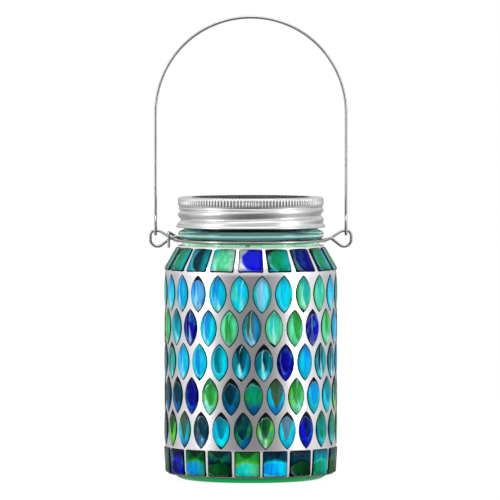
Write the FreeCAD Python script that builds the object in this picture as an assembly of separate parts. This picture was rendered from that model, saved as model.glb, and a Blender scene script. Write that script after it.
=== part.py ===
import FreeCAD, Part
import math
import os

# Solar mason jar lantern: a glass jar clad in glass mosaic, with a wire bail and a screw-on solar lid.
# Millimetres, +Z up. The origin is the centre of the jar's foot, and -Y is the front.

V = FreeCAD.Vector

# Fits
bond_gap = 0.10              # film of adhesive between glass, tiles and grout
seat_gap = 0.05              # between flat faces that rest on each other
running_gap = 0.30           # around pieces that move past each other

# Glass jar
body_radius = 40.5
glass_wall = 3.2
base_thickness = 5.0
foot_width = 7.0             # of the flat ring that the jar stands on
punt_height = 1.6
heel_round = 7.0
base_taper = 0.9             # how much the wall draws in towards the foot
shoulder_lean = 30.0         # degrees from the vertical
shoulder_round = 7.0
neck_radius = 34.2
neck_wall = 3.8
neck_height = 4.6            # straight neck from the shoulder to the bead
neck_round = 1.5
bead_size = 2.2
finish_step = 1.0            # how far the finish above the bead lies inside the neck
lip_round = 1.0
inner_heel_round = 8.0

# Mosaic
tile_thickness = 2.5
grout_depth = 2.2
grout_margin = 0.8           # grout past the outer edges of the end rows
tile_corner = 0.8
tile_joint = 0.6             # least joint between square tiles, at their backs
row_gap = 0.7                # between the leaf rows and the square rows
shoulder_tile_foot = 12.4    # width at the lower edge
shoulder_tile_head = 11.5    # width at the upper edge
shoulder_tile_drop = 0.7     # of the lower edge past the foot of the slope
leaf_length = 18.6
leaf_width = 9.3
leaf_joint = 1.2             # least joint between the leaves of a row, at their backs
leaf_rows = 5
row_overlap = 1.75           # of the leaves' tips, from one row to the next
row_drift = 0.6              # degrees that each row is turned past the one above it
base_tile_width = 12.6
base_tile_height = 12.8
base_row_bottom = 3.6
base_row_turn = -2.4         # degrees

# Wire hanger
wire_diameter = 1.4
bail_clearance = 4.5         # from the tiles to the middle of the bail's legs
bail_height = 106.7          # from the hinge to the middle of the wire at the top of the arch
hook_length = 5.0            # of the bail's hooked ends above the hinge
hook_jog = 2.4
eye_lift = 0.9               # of the eyes' middle above the collar
eye_rise = 1.2               # of the crossed strands above the collar
eye_height = 7.8
eye_slope = 5.4              # along the jar's width, from an eye's neck to its flat top
eye_flat = 4.8               # the flat top
hinge_place = 2.2            # of the bail along the flat top
neck_bend = 2.2              # radii of an eye's bends, from its neck over the top to its foot
crown_bend = 4.0
end_bend = 2.2
foot_bend = 3.4
strand_climb = 6.0           # length over which a strand climbs to its eye
strand_bend = 12.0
strand_gap = 0.3             # between strands that cross
tail_length = 7.5

# Screw band
band_sheet = 0.5
band_corner = 1.2
band_grip_height = 4.9
roll_pitch = 4.7
band_groove = 1.4            # how far the grooves lie inside the rolls
band_waist = 0.7
hem_height = 3.15            # from the lower roll to the hem
waist_height = 1.0
band_flare = 0.9
thread_room = 1.3            # from the finish to the grooves
band_clearance = 1.45        # from the bead to the hem
opening_gap = 1.0            # from the panel's rim to the band

# Solar insert
gasket_thickness = 1.2
gasket_width = 2.2
flange_thickness = 1.9
flange_overhang = 0.8        # of the flange past the finish
cup_clearance = 1.0          # from the neck's bore to the cup
cup_wall = 1.4
cup_depth = 18.6
roof_thickness = 1.6
panel_radius = 28.2
panel_rim = 1.0
panel_proud = 0.15           # of the panel above the band
cell_thickness = 0.5
panel_cover_thickness = 0.6
insert_base_thickness = 2.0
screw_count = 3
screw_inset = 5.5            # from the cup's bore to the middle of a screw
screw_shank_radius = 1.1
screw_head_radius = 2.1
screw_head_height = 1.2
screw_length = 8.0
post_wall = 1.5
battery_radius = 5.2
battery_length = 30.0
battery_nub_radius = 1.9
battery_nub_length = 1.0
battery_gap = 1.0            # from the board
contact_thickness = 0.6
contact_width = 8.0
contact_height = 9.5
board_length = 22.0
board_width = 21.0
board_thickness = 1.2
board_stand = 4.2            # underside of the board above the base
board_margin = 3.2           # of the board past the middle of the lamp
standoff_radius = 1.6
standoff_inset = 2.2         # from the board's ends
led_radius = 2.5
led_length = 6.6
led_flange_width = 0.4
led_flange_thickness = 1.0
lens_radius = 6.0
lens_wall = 1.2
lens_flange_width = 2.0
lens_flange_thickness = 0.8
knob_length = 2.4
knob_width = 2.0
knob_reach = 1.6             # below the base, and into the switch
switch_travel = 3.0
switch_wall = 1.0
switch_inset = 3.0           # from the board's edge
lead_radius = 0.6
lead_spacing = 5.0
lead_inset = 6.5             # from the board's edge

# The mosaic's rows, from the foot up, set the height of the jar's wall
slope = math.radians(shoulder_lean)
slope_length = (body_radius - neck_radius) / math.sin(slope)
base_row_top = base_row_bottom + base_tile_height
taper_height = base_row_top + row_gap / 2
leaf_row_pitch = leaf_length - row_overlap
lowest_leaf_row = base_row_top + row_gap + leaf_length / 2
leaf_top = lowest_leaf_row + (leaf_rows - 1) * leaf_row_pitch + leaf_length / 2
shoulder_height = leaf_top + row_gap + shoulder_tile_drop * math.cos(slope)
leaf_arc = (leaf_length**2 + leaf_width**2) / (4 * leaf_width)

# The neck, from the shoulder up, with the lid's stack on it
neck_foot = shoulder_height + slope_length * math.cos(slope)
bead_bottom = neck_foot + neck_height
bead_top = bead_bottom + 2 * bead_size
finish_radius = neck_radius - finish_step
neck_bore = neck_radius - neck_wall
band_bottom = bead_top + band_clearance
lower_roll = band_bottom + hem_height
grip_foot = lower_roll + 1.5 * roll_pitch
band_top = grip_foot + band_grip_height
band_radius = finish_radius + thread_room + band_sheet + band_groove
flange_top = band_top - band_sheet - seat_gap
flange_bottom = flange_top - flange_thickness
flange_radius = finish_radius + flange_overhang
gasket_bottom = flange_bottom - seat_gap - gasket_thickness
jar_height = gasket_bottom - seat_gap

# The insert
cup_radius = neck_bore - cup_clearance
cup_bore = cup_radius - cup_wall
cup_bottom = flange_bottom - cup_depth
rim_radius = panel_radius + panel_rim
band_opening = rim_radius + opening_gap
panel_top = band_top + panel_proud
panel_cover_bottom = panel_top - panel_cover_thickness
cell_bottom = panel_cover_bottom - seat_gap - cell_thickness
roof_top = cell_bottom - seat_gap
roof_bottom = roof_top - roof_thickness
base_top = cup_bottom - seat_gap
base_bottom = base_top - insert_base_thickness
post_radius = screw_shank_radius + post_wall
board_bottom = base_top + board_stand
board_front = board_margin - board_width
board_middle = board_margin - board_width / 2
battery_middle = board_margin + battery_gap + battery_radius
switch_middle = board_front + switch_inset
lead_middle = board_front + lead_inset
track_length = knob_length + switch_travel + 2 * running_gap
track_width = knob_width + 2 * running_gap

# The hanger
collar_radius = neck_radius + bond_gap + wire_diameter / 2
collar_height = bead_bottom - bond_gap - wire_diameter / 2
bail_half_width = body_radius + bond_gap + tile_thickness + bail_clearance
eye_neck = bail_half_width - hinge_place - eye_slope
strand_offset = (wire_diameter + strand_gap) / 2
hinge_height = collar_height + eye_lift + eye_height / 2
hook_radius = wire_diameter + running_gap
leg_foot = hinge_height + hook_length + hook_jog + 2 * wire_diameter


def line(a, b):
    return Part.LineSegment(a, b).toShape()


def arc(a, b, c):
    return Part.Arc(a, b, c).toShape()


def at(radius, height):
    """A point of an outline that is turned about the jar's axis."""
    return V(radius, 0, height)


def turned(edges):
    """The solid of revolution of a closed outline about the jar's axis."""
    face = Part.Face(Part.Wire(Part.__sortEdges__(edges)))
    return face.revolve(V(0, 0, 0), V(0, 0, 1), 360)


def ring(inner, outer, bottom, top):
    """A plain washer about the jar's axis."""
    height = top - bottom
    hole = Part.makeCylinder(inner, height, V(0, 0, bottom))
    return Part.makeCylinder(outer, height, V(0, 0, bottom)).cut(hole)


def block(length, width, bottom, top, x=0, y=0):
    """A box centred on x, y between two levels."""
    return Part.makeBox(length, width, top - bottom, V(x - length / 2, y - width / 2, bottom))


def post(radius, bottom, top, x=0, y=0):
    return Part.makeCylinder(radius, top - bottom, V(x, y, bottom))


def rounded_chain(points, radii):
    """Edges from the first point to the last; each corner between is rounded to its radius."""
    edges = []
    start = points[0]
    for before, corner, after, radius in zip(points, points[1:], points[2:], radii):
        inward = (corner - before).normalize()
        outward = (after - corner).normalize()
        turn = inward.getAngle(outward)
        setback = radius * math.tan(turn / 2)
        first = corner - inward * setback
        last = corner + outward * setback
        if (first - start).Length > 1e-6:
            edges.append(line(start, first))
        if radius > 0:
            bulge = radius * (1 / math.cos(turn / 2) - 1)
            edges.append(arc(first, corner + (outward - inward).normalize() * bulge, last))
        start = last
    if (points[-1] - start).Length > 1e-6:
        edges.append(line(start, points[-1]))
    return edges


def rod(edges):
    """Round wire along a smooth run of edges."""
    first = edges[0]
    begin = first.valueAt(first.FirstParameter)
    along = first.tangentAt(first.FirstParameter)
    section = Part.Wire([Part.makeCircle(wire_diameter / 2, begin, along)])
    return Part.Wire(edges).makePipeShell([section], True, False)


def shifted(points, distance):
    """An outline's points moved out by a distance, square to its runs."""
    moved = []
    normals = []
    for a, b in zip(points, points[1:]):
        run = (b - a).normalize()
        normals.append(V(run.z, 0, -run.x))
    for index, point in enumerate(points):
        before = normals[max(index - 1, 0)]
        after = normals[min(index, len(normals) - 1)]
        between = (before + after).normalize()
        moved.append(point + between * (distance / between.dot(after)))
    return moved


def jar_outside(distance):
    """The jar's outside from the heel to the neck, moved out by a distance, as points and radii."""
    points = shifted(
        [
            at(body_radius - base_taper - heel_round, 0),
            at(body_radius - base_taper, 0),
            at(body_radius, taper_height),
            at(body_radius, shoulder_height),
            at(neck_radius, neck_foot),
            at(neck_radius, bead_bottom),
        ],
        distance,
    )
    return points, [heel_round + distance, 0, shoulder_round + distance, neck_round]


def glass_jar():
    """The jar, turned in one piece: a punted foot, a bead around the neck and a plain finish."""
    points, radii = jar_outside(0)
    heel_turn = math.pi / 2 - math.atan(base_taper / taper_height)
    foot_outer = body_radius - base_taper - heel_round * math.tan(heel_turn / 2)
    foot_inner = foot_outer - foot_width
    points[0] = at(foot_inner, 0)
    bead_middle = at(neck_radius + bead_size, bead_bottom + bead_size)
    bead = arc(points[-1], bead_middle, at(neck_radius, bead_top))
    inner_radius = body_radius - glass_wall
    inner_shoulder = shoulder_height - glass_wall * math.tan(slope / 2)
    inner_neck = inner_shoulder + (inner_radius - neck_bore) / math.tan(slope)
    inside = rounded_chain(
        [
            at(neck_radius, bead_top),
            at(finish_radius, bead_top + finish_step),
            at(finish_radius, jar_height),
            at(neck_bore, jar_height),
            at(neck_bore, inner_neck),
            at(inner_radius, inner_shoulder),
            at(inner_radius, base_thickness),
            at(0, base_thickness),
            at(0, punt_height),
            at(foot_inner - punt_height, punt_height),
            at(foot_inner, 0),
        ],
        [0, lip_round, lip_round, shoulder_round, shoulder_round, inner_heel_round, 0, 0, 0],
    )
    return turned(rounded_chain(points, radii) + [bead] + inside)


def cladding(distance):
    """The jar's solid envelope, a distance outside the glass."""
    points, radii = jar_outside(distance)
    closing = [points[-1], at(0, points[-1].z), at(0, points[0].z), points[0]]
    return turned(rounded_chain(points, radii) + rounded_chain(closing, [0, 0]))


def tile_seat(angle, radius, height, lean):
    """Places a tile: its X runs around the jar, its Y up the wall, and its Z straight out."""
    turn = math.radians(angle)
    tilt = math.radians(lean)
    out = V(math.sin(turn), -math.cos(turn), 0)
    around = V(math.cos(turn), math.sin(turn), 0)
    rise = V(0, 0, math.cos(tilt)) - out * math.sin(tilt)
    normal = out * math.cos(tilt) + V(0, 0, math.sin(tilt))
    place = out * radius + V(0, 0, height) + normal * bond_gap
    return FreeCAD.Placement(FreeCAD.Matrix(
        around.x, rise.x, normal.x, place.x,
        around.y, rise.y, normal.y, place.y,
        around.z, rise.z, normal.z, place.z,
        0, 0, 0, 1,
    ))


def leaf(grow, back, front):
    """A pointed leaf between two arcs, grown all round, from its back to its front level."""
    centre = leaf_arc - leaf_width / 2
    radius = leaf_arc + grow
    tip = math.sqrt(radius**2 - centre**2)
    side = radius - centre
    low, high = V(0, -tip, back), V(0, tip, back)
    outline = [arc(low, V(side, 0, back), high), arc(high, V(-side, 0, back), low)]
    return Part.Face(Part.Wire(outline)).extrude(V(0, 0, front - back))


def four_sided(foot, head, height, grow, back, front):
    """A tile with rounded corners, as wide as its foot and head, grown all round."""
    y = height / 2 + grow
    low, high = foot / 2 + grow, head / 2 + grow
    start = V(0, -y, back)
    corners = [V(low, -y, back), V(high, y, back), V(-high, y, back), V(-low, -y, back)]
    outline = rounded_chain([start] + corners + [start], [tile_corner + grow] * len(corners))
    return Part.Face(Part.Wire(outline)).extrude(V(0, 0, front - back))


def tiles_around(width, radius):
    """How many flat backs of one width go around at one distance from the jar's axis."""
    return int(math.pi / math.atan(width / 2 / (radius + bond_gap)))


def shoulder_seats():
    """Seats of the top row, which lies on the shoulder's slope."""
    head_radius = neck_radius + shoulder_tile_drop * math.sin(slope)
    foot_radius = body_radius + shoulder_tile_drop * math.sin(slope)
    count = min(
        tiles_around(shoulder_tile_head + tile_joint, head_radius),
        tiles_around(shoulder_tile_foot + tile_joint, foot_radius),
    )
    climb = slope_length / 2 - shoulder_tile_drop
    radius = body_radius - climb * math.sin(slope)
    height = shoulder_height + climb * math.cos(slope)
    return [tile_seat(k * 360 / count, radius, height, shoulder_lean) for k in range(count)]


def leaf_seats(row):
    """Seats of one row of leaves; row 1 is the top one, and each row lies in the gaps of the last."""
    count = tiles_around(leaf_width + leaf_joint, body_radius)
    step = 360 / count
    height = lowest_leaf_row + (leaf_rows - row) * leaf_row_pitch
    start = (row % 2) * step / 2 + (row - 1) * row_drift
    return [tile_seat(start + k * step, body_radius, height, 0) for k in range(count)]


def base_seats():
    """Seats of the bottom row, which lies on the wall's taper."""
    foot_radius = body_radius - base_taper * (1 - base_row_bottom / taper_height)
    count = tiles_around(base_tile_width + tile_joint, foot_radius)
    height = base_row_bottom + base_tile_height / 2
    radius = body_radius - base_taper * (1 - height / taper_height)
    lean = -math.degrees(math.atan(base_taper / taper_height))
    return [tile_seat(base_row_turn + k * 360 / count, radius, height, lean) for k in range(count)]


def placed(shape, seats):
    """A copy of the shape at each seat."""
    copies = []
    for seat in seats:
        copy = shape.copy()
        copy.Placement = seat
        copies.append(copy)
    return copies


def tile_rows(grow, back, front):
    """Every row of the mosaic by name, as lists of tiles of one size."""
    shoulder_tile = four_sided(
        shoulder_tile_foot, shoulder_tile_head, slope_length, grow, back, front
    )
    base_tile = four_sided(base_tile_width, base_tile_width, base_tile_height, grow, back, front)
    leaf_tile = leaf(grow, back, front)
    rows = {"shoulder_tiles": placed(shoulder_tile, shoulder_seats())}
    for row in range(1, leaf_rows + 1):
        rows[f"leaf_tiles_row_{row}"] = placed(leaf_tile, leaf_seats(row))
    rows["base_tiles"] = placed(base_tile, base_seats())
    return rows


def grout_net():
    """The grout between the tiles: a skin around the glass with a pocket for each tile."""
    tile_top = shoulder_height + (slope_length - shoulder_tile_drop) * math.cos(slope)
    top = tile_top + tile_thickness * math.sin(slope) + grout_margin
    bottom = base_row_bottom - grout_margin
    slab = Part.makeCylinder(2 * body_radius, top - bottom, V(0, 0, bottom))
    skin = cladding(bond_gap + grout_depth).common(slab).cut(cladding(bond_gap))
    pockets = []
    for row in tile_rows(bond_gap, -tile_thickness, 2 * tile_thickness).values():
        pockets.extend(row)
    return skin.cut(pockets)


def collar_point(x_sign, y_sign):
    """Where the wire leaves the neck, straight towards its strand at the neck of an eye."""
    reach = math.hypot(eye_neck, strand_offset)
    angle = math.atan2(strand_offset, eye_neck) + math.acos(collar_radius / reach)
    along = V(x_sign * math.cos(angle), y_sign * math.sin(angle), 0)
    return along * collar_radius + V(0, 0, collar_height)


def eye_points(x_sign):
    """One eye from its front strand over the top, around the end and back to its rear strand."""
    neck = x_sign * eye_neck
    flat = x_sign * (eye_neck + eye_slope)
    end = x_sign * (eye_neck + eye_slope + eye_flat)
    bottom = hinge_height - eye_height
    crossing = collar_height + eye_rise
    return [
        V(neck, -strand_offset, crossing),
        V(flat, 0, hinge_height),
        V(end, 0, hinge_height),
        V(end, strand_offset / 2, bottom),
        V(flat, strand_offset, bottom),
        V(neck, strand_offset, crossing),
    ]


def strand_run(x_sign, y_sign):
    """The direction of a strand that runs level from the collar towards the neck of an eye."""
    neck = V(x_sign * eye_neck, y_sign * strand_offset, collar_height)
    return (neck - collar_point(x_sign, y_sign)).normalize()


def strand_foot(x_sign, y_sign):
    """Where a strand starts to climb to the neck of its eye."""
    neck = V(x_sign * eye_neck, y_sign * strand_offset, collar_height)
    return neck - strand_run(x_sign, y_sign) * strand_climb


def hanger_collar():
    """One wire around the neck, twisted into an eye at each side and hooked shut at the left."""
    front = arc(collar_point(-1, -1), V(0, -collar_radius, collar_height), collar_point(1, -1))
    rear = arc(collar_point(1, 1), V(0, collar_radius, collar_height), collar_point(-1, 1))
    bends = [neck_bend, crown_bend, end_bend, foot_bend, foot_bend, neck_bend]
    left_eye = list(reversed(eye_points(-1)))
    stub = left_eye[0] + V(2 * wire_diameter, 0, wire_diameter / 2)
    left = rounded_chain(
        [stub] + left_eye + [strand_foot(-1, -1), collar_point(-1, -1)],
        list(reversed(bends)) + [strand_bend],
    )
    right = rounded_chain(
        [collar_point(1, -1), strand_foot(1, -1)]
        + eye_points(1)
        + [strand_foot(1, 1), collar_point(1, 1)],
        [strand_bend] + bends + [strand_bend],
    )
    leave = collar_point(-1, 1)
    tail_x = -eye_neck - wire_diameter / 2 - strand_gap
    tail_top = collar_height + eye_rise + 2 * wire_diameter
    tail_front = -strand_offset - wire_diameter - strand_gap
    latch = rounded_chain(
        [
            leave,
            leave + strand_run(-1, 1) * (7 * wire_diameter),
            V(tail_x, strand_offset + wire_diameter, tail_top),
            V(tail_x, tail_front, tail_top),
            V(tail_x, tail_front, tail_top - tail_length),
        ],
        [4 * wire_diameter, wire_diameter, wire_diameter],
    )
    return rod(left + [front] + right + [rear] + latch)


def bail_hook(x_sign):
    """A bail's end from the leg down: a jog, the bend under the eye's wire and the tail."""
    x = x_sign * bail_half_width
    jog_foot = hinge_height + hook_length
    jog_top = jog_foot + hook_jog
    front = V(x, -hook_radius, hinge_height)
    rear = V(x, hook_radius, hinge_height)
    leg = rounded_chain(
        [V(x, 0, leg_foot), V(x, 0, jog_top), V(x, -hook_radius, jog_foot), front],
        [wire_diameter, wire_diameter],
    )
    bend = arc(front, V(x, 0, hinge_height - hook_radius), rear)
    return leg + [bend, line(rear, V(x, hook_radius, jog_foot))]


def reversed_run(edges):
    """The same run of edges from its other end."""
    turned_round = []
    for edge in reversed(edges):
        a, b = edge.FirstParameter, edge.LastParameter
        if isinstance(edge.Curve, Part.Circle):
            turned_round.append(arc(edge.valueAt(b), edge.valueAt((a + b) / 2), edge.valueAt(a)))
        else:
            turned_round.append(line(edge.valueAt(b), edge.valueAt(a)))
    return turned_round


def bail_handle():
    leg_top = hinge_height + bail_height - bail_half_width
    left_foot, right_foot = [V(sign * bail_half_width, 0, leg_foot) for sign in (-1, 1)]
    left_top, right_top = [V(sign * bail_half_width, 0, leg_top) for sign in (-1, 1)]
    arch = arc(left_top, V(0, 0, hinge_height + bail_height), right_top)
    legs = [line(left_foot, left_top), arch, line(right_top, right_foot)]
    return rod(reversed_run(bail_hook(-1)) + legs + bail_hook(1))


def band_wall(inset):
    """The band's rolled wall as points from the top corner to the hem, moved in by a distance."""
    wall_top = band_top - band_corner
    levels = [
        (band_radius, wall_top),
        (band_radius, (wall_top + grip_foot) / 2),
        (band_radius - band_groove, grip_foot),
        (band_radius, lower_roll + roll_pitch),
        (band_radius - band_groove, lower_roll + roll_pitch / 2),
        (band_radius, lower_roll),
        (band_radius - band_waist, band_bottom + waist_height),
        (band_radius + band_flare, band_bottom),
    ]
    return [at(radius - inset, height) for radius, height in levels]


def curve(points):
    """A smooth curve through points."""
    spline = Part.BSplineCurve()
    spline.interpolate(points)
    return spline.toShape()


def screw_band():
    """A rolled sheet ring, turned from its profile, with a flange over the insert."""
    outside = band_wall(0)
    inside = band_wall(band_sheet)
    corner = at(band_radius - band_corner, band_top - band_corner)
    halfway = V(1, 0, 1).normalize()
    roof = band_top - band_sheet
    edges = [
        line(at(band_opening, band_top), at(corner.x, band_top)),
        arc(at(corner.x, band_top), corner + halfway * band_corner, outside[0]),
        curve(outside),
        line(outside[-1], inside[-1]),
        curve(inside),
        arc(inside[0], corner + halfway * (band_corner - band_sheet), at(corner.x, roof)),
        line(at(corner.x, roof), at(band_opening, roof)),
        line(at(band_opening, roof), at(band_opening, band_top)),
    ]
    return turned(edges)


def lid_gasket():
    """A flat ring in the middle of the jar's rim."""
    middle = (neck_bore + finish_radius) / 2
    inner, outer = middle - gasket_width / 2, middle + gasket_width / 2
    return ring(inner, outer, gasket_bottom, gasket_bottom + gasket_thickness)


def screw_places():
    reach = cup_bore - screw_inset
    angles = [math.pi / 2 + k * 2 * math.pi / screw_count for k in range(screw_count)]
    return [(reach * math.cos(angle), reach * math.sin(angle)) for angle in angles]


def insert_housing():
    """A flanged cup, turned, with a recess for the panel on top and posts for screws inside."""
    well = panel_radius + seat_gap
    profile = [
        at(0, roof_bottom),
        at(cup_bore, roof_bottom),
        at(cup_bore, cup_bottom),
        at(cup_radius, cup_bottom),
        at(cup_radius, flange_bottom),
        at(flange_radius, flange_bottom),
        at(flange_radius, flange_top),
        at(rim_radius, flange_top),
        at(rim_radius, panel_top),
        at(well, panel_top),
        at(well, roof_top),
        at(0, roof_top),
        at(0, roof_bottom),
    ]
    housing = turned(rounded_chain(profile, [0] * (len(profile) - 2)))
    hole_top = base_bottom + screw_length + seat_gap
    holes = []
    for x, y in screw_places():
        housing = housing.fuse(post(post_radius, cup_bottom, roof_top, x, y))
        holes.append(post(screw_shank_radius + seat_gap, cup_bottom, hole_top, x, y))
    for x in (-lead_spacing / 2, lead_spacing / 2):
        holes.append(post(lead_radius + seat_gap, roof_bottom, roof_top, x, lead_middle))
    return housing.cut(holes).removeSplitter()


def solar_cell():
    return post(panel_radius, cell_bottom, cell_bottom + cell_thickness)


def panel_cover():
    return post(panel_radius, panel_cover_bottom, panel_top)


def insert_base():
    """The cup's closing plate: a hole for the lamp, a slot for the switch and board standoffs."""
    plate = post(cup_radius, base_bottom, base_top)
    stand_x = board_length / 2 - standoff_inset
    stands = [
        post(standoff_radius, base_top, board_bottom - seat_gap, x, board_middle)
        for x in (-stand_x, stand_x)
    ]
    holes = [
        post(led_radius + running_gap, base_bottom, base_top),
        block(track_length, track_width, base_bottom, base_top, 0, switch_middle),
    ]
    for x, y in screw_places():
        holes.append(post(screw_shank_radius + seat_gap, base_bottom, base_top, x, y))
    return plate.fuse(stands).cut(holes).removeSplitter()


def cover_screws():
    """Pan-head screws up through the base, each turned from its profile."""
    head_top = base_bottom - seat_gap
    head_bottom = head_top - screw_head_height
    profile = [
        at(0, head_bottom),
        at(screw_head_radius, head_bottom),
        at(screw_head_radius, head_top),
        at(screw_shank_radius, head_top),
        at(screw_shank_radius, base_bottom + screw_length),
        at(0, base_bottom + screw_length),
        at(0, head_bottom),
    ]
    screw = turned(rounded_chain(profile, [screw_head_height / 2, 0, 0, 0, 0]))
    return placed(screw, [FreeCAD.Placement(V(x, y, 0), FreeCAD.Rotation()) for x, y in screw_places()])


def battery_cell():
    """A cell that lies on the base, with its raised end to +X."""
    start = V(-battery_length / 2, battery_middle, base_top + seat_gap + battery_radius)
    end = start + V(battery_length, 0, 0)
    can = Part.makeCylinder(battery_radius, battery_length, start, V(1, 0, 0))
    nub = Part.makeCylinder(battery_nub_radius, battery_nub_length, end, V(1, 0, 0))
    return can.fuse(nub).removeSplitter()


def battery_contacts():
    """A spring plate against each end of the cell."""
    stand_off = seat_gap + contact_thickness / 2
    minus = -battery_length / 2 - stand_off
    plus = battery_length / 2 + battery_nub_length + stand_off
    bottom = base_top + seat_gap
    top = bottom + contact_height
    return [
        block(contact_thickness, contact_width, bottom, top, x, battery_middle) for x in (minus, plus)
    ]


def circuit_board():
    top = board_bottom + board_thickness
    return block(board_length, board_width, board_bottom, top, 0, board_middle)


def led_lamp():
    """A domed lamp that hangs under the board and looks down through the base."""
    top = board_bottom - seat_gap
    flange = post(led_radius + led_flange_width, top - led_flange_thickness, top)
    stem = post(led_radius, top - led_length, top)
    dome = Part.makeSphere(led_radius, V(0, 0, top - led_length))
    return flange.fuse([stem, dome]).removeSplitter()


def lens_dome():
    """A flanged hollow dome over the lamp, under the base, turned from its profile."""
    top = base_bottom - seat_gap
    foot = top - lens_flange_thickness
    bore = lens_radius - lens_wall
    rim = lens_radius + lens_flange_width
    halfway = V(1, 0, -1).normalize()
    edges = [
        line(at(bore, top), at(rim, top)),
        line(at(rim, top), at(rim, foot)),
        line(at(rim, foot), at(lens_radius, foot)),
        arc(at(lens_radius, foot), at(0, foot) + halfway * lens_radius, at(0, foot - lens_radius)),
        line(at(0, foot - lens_radius), at(0, foot - bore)),
        arc(at(0, foot - bore), at(0, foot) + halfway * bore, at(bore, foot)),
        line(at(bore, foot), at(bore, top)),
    ]
    return turned(edges)


def switch_case():
    """The slide switch between the base and the board, with a track for its knob."""
    bottom = base_top + seat_gap
    length = track_length + 2 * switch_wall
    width = track_width + 2 * switch_wall
    case = block(length, width, bottom, board_bottom - seat_gap, 0, switch_middle)
    return case.cut(block(track_length, track_width, bottom, bottom + knob_reach, 0, switch_middle))


def switch_knob():
    """The switch's slider, at the off end of its travel."""
    top = base_top + seat_gap + knob_reach - running_gap
    x = -switch_travel / 2
    return block(knob_length, knob_width, base_bottom - knob_reach, top, x, switch_middle)


def panel_leads():
    """Two wires from the board up through the housing to the panel."""
    top = cell_bottom - seat_gap
    bottom = board_bottom + board_thickness + seat_gap
    return [
        post(lead_radius, bottom, top, x, lead_middle) for x in (-lead_spacing / 2, lead_spacing / 2)
    ]


def save(name, solids):
    """Writes one node, made of one or more separate solids."""
    pieces = solids if isinstance(solids, list) else [solids]
    found = [solid for piece in pieces for solid in piece.Solids]
    shape = found[0] if len(found) == 1 else Part.makeCompound(found)
    shape.exportStep(f"parts/{name}.step")
    volume = sum(solid.Volume for solid in found)
    print(f"{name}: {len(found)} solids, {volume:.1f} mm3, valid {shape.isValid()}")


def main():
    os.makedirs("parts", exist_ok=True)
    save("glass_jar", glass_jar())
    save("grout_net", grout_net())
    for name, tiles in tile_rows(0, 0, tile_thickness).items():
        save(name, tiles)
    save("hanger_collar", hanger_collar())
    save("bail_handle", bail_handle())
    save("screw_band", screw_band())
    save("lid_gasket", lid_gasket())
    save("insert_housing", insert_housing())
    save("solar_cell", solar_cell())
    save("panel_cover", panel_cover())
    save("insert_base", insert_base())
    save("cover_screws", cover_screws())
    save("battery_cell", battery_cell())
    save("battery_contacts", battery_contacts())
    save("circuit_board", circuit_board())
    save("led_lamp", led_lamp())
    save("lens_dome", lens_dome())
    save("switch_case", switch_case())
    save("switch_knob", switch_knob())
    save("panel_leads", panel_leads())


main()
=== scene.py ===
import math
import bpy
import numpy as np
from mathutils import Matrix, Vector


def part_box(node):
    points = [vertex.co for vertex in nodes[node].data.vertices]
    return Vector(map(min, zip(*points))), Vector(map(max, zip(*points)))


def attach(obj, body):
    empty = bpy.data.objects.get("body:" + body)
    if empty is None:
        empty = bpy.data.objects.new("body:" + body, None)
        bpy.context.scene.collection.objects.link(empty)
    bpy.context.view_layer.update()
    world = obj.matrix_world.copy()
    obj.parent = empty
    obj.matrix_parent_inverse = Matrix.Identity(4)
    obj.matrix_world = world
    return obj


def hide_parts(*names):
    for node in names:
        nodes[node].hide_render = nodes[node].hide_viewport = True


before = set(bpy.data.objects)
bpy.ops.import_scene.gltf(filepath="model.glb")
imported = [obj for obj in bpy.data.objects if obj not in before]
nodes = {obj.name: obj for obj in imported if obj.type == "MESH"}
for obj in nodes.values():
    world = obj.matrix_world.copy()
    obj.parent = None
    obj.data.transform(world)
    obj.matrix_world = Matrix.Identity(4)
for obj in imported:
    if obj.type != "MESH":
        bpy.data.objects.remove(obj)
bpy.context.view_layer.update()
mm = 0.001
print("frame loaded with", len(nodes), "nodes")


# Small makers: colours, meshes and shader nodes

def screenColour(red, green, blue):
    # screen values of 0 to 255 turned into the linear light that shaders take
    value = np.array([red, green, blue]) / 255
    return np.where(value <= 0.04045, value / 12.92, ((value + 0.055) / 1.055) ** 2.4)


def smooth(low, high, value):
    # the soft step 3t^2 - 2t^3 of t, the value's place between low and high
    step = np.clip((value - low) / (high - low), 0, 1)
    return step * step * (3 - 2 * step)


def around(radius, angle, height):
    # a point at an angle from the front, turning towards the right
    x = radius * np.sin(angle)
    y = -radius * np.cos(angle)
    return np.stack(np.broadcast_arrays(x, y, height), -1)


def gridFaces(rows, columns, wrapRows, wrapColumns):
    # four corners of each cell of a grid; a wrapped side joins its last line to its first
    row = np.arange(rows if wrapRows else rows - 1)[:, None]
    column = np.arange(columns if wrapColumns else columns - 1)[None, :]
    nextRow = (row + 1) % rows
    nextColumn = (column + 1) % columns
    corners = [row * columns + column, row * columns + nextColumn]
    corners += [nextRow * columns + nextColumn, nextRow * columns + column]
    return np.stack(corners, -1).reshape(-1, 4)


def addMesh(name, points, faces):
    mesh = bpy.data.meshes.new(name)
    mesh.from_pydata(points.reshape(-1, 3).tolist(), [], faces)
    mesh.validate()
    mesh.shade_smooth()
    piece = bpy.data.objects.new(name, mesh)
    bpy.context.scene.collection.objects.link(piece)
    return piece


def seat(piece, body, slot, material, *replaced):
    piece.data.materials.append(material)
    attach(piece, body)
    if replaced:
        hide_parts(*replaced)


def addAttribute(piece, name, kind, field, values):
    piece.data.attributes.new(name, kind, "POINT").data.foreach_set(field, values.ravel())


socketNames = {
    "base": "Base Color", "metallic": "Metallic", "roughness": "Roughness", "ior": "IOR",
    "transmission": "Transmission Weight", "coat": "Coat Weight", "specular": "Specular IOR Level",
    "glow": "Emission Strength", "glowTint": "Emission Color",
}


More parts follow.
